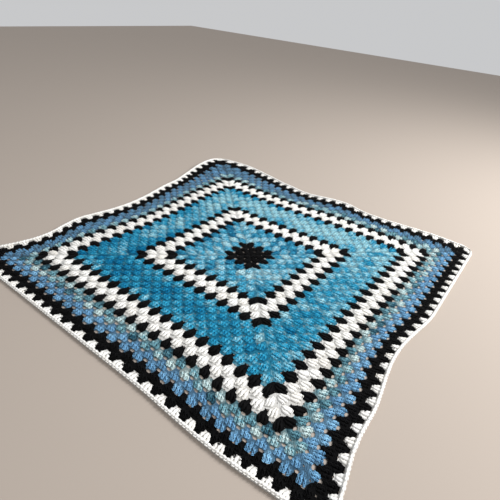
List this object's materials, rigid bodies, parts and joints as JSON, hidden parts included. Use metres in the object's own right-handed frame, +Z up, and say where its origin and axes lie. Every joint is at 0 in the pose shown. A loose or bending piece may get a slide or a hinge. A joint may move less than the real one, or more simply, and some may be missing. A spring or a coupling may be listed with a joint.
{
  "type": "granny square blanket",
  "caption": "Crocheted granny square blanket spread out flat: square rounds of treble clusters in blues, black and white with a straight white edging, one corner and a low ripple raised.",
  "frame": {"origin": "centre of the bounding box, on the surface that the blanket lies on", "axes": "+Z up out of the cloth's face; +X and +Y along its sides, with the raised corner towards -X and +Y"},
  "size_m": [1.2062, 1.1836, 0.026],
  "materials": {
    "crochet_yarn": "matt wool-like yarn in black, warm white, turquoise, aqua, mint and denim blue"
  },
  "bodies": {
    "root": {"blanket": "crochet_yarn"}
  },
  "joints": []
}
